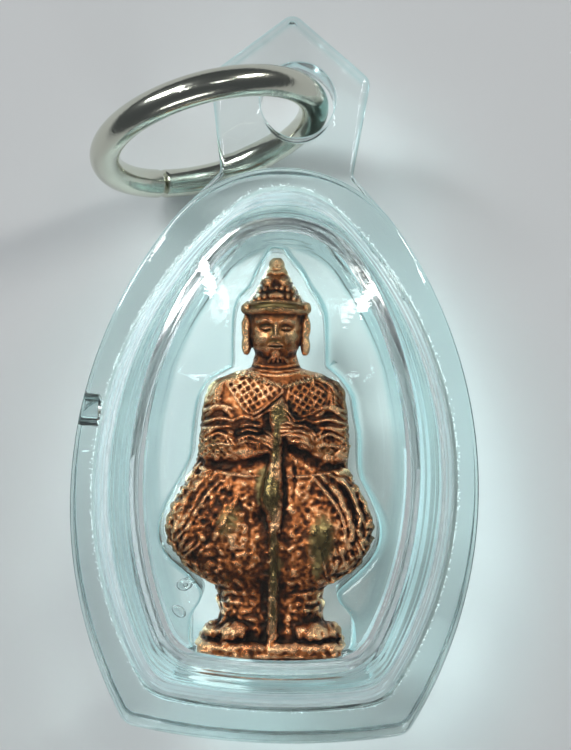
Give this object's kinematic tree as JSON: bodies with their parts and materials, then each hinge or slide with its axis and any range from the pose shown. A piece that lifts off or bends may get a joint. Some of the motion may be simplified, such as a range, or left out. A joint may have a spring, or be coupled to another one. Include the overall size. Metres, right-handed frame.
{
  "type": "amulet pendant",
  "caption": "Clear layered case, a pointed oval with a stepped dome and a lug, holding a small cast standing figure, with a split wire ring.",
  "frame": {"origin": "middle of the flat back that the pendant lies on, below the widest part of the case", "axes": "+X across the case, +Y up the case towards the lug, +Z out through the front dome"},
  "size_m": [0.0204, 0.0367, 0.0122],
  "materials": {
    "clear_cover": "clear polished acrylic sheet",
    "clear_plate": "clear polished acrylic plate, edges buffed by hand",
    "cast_copper": "rough cast copper with dark tarnish in the hollows",
    "ring_steel": "polished steel wire"
  },
  "bodies": {
    "root": {"front_cover": "clear_cover", "back_cover": "clear_cover", "middle_plate": "clear_plate", "figure": "cast_copper", "jump_ring": "ring_steel"}
  },
  "joints": []
}
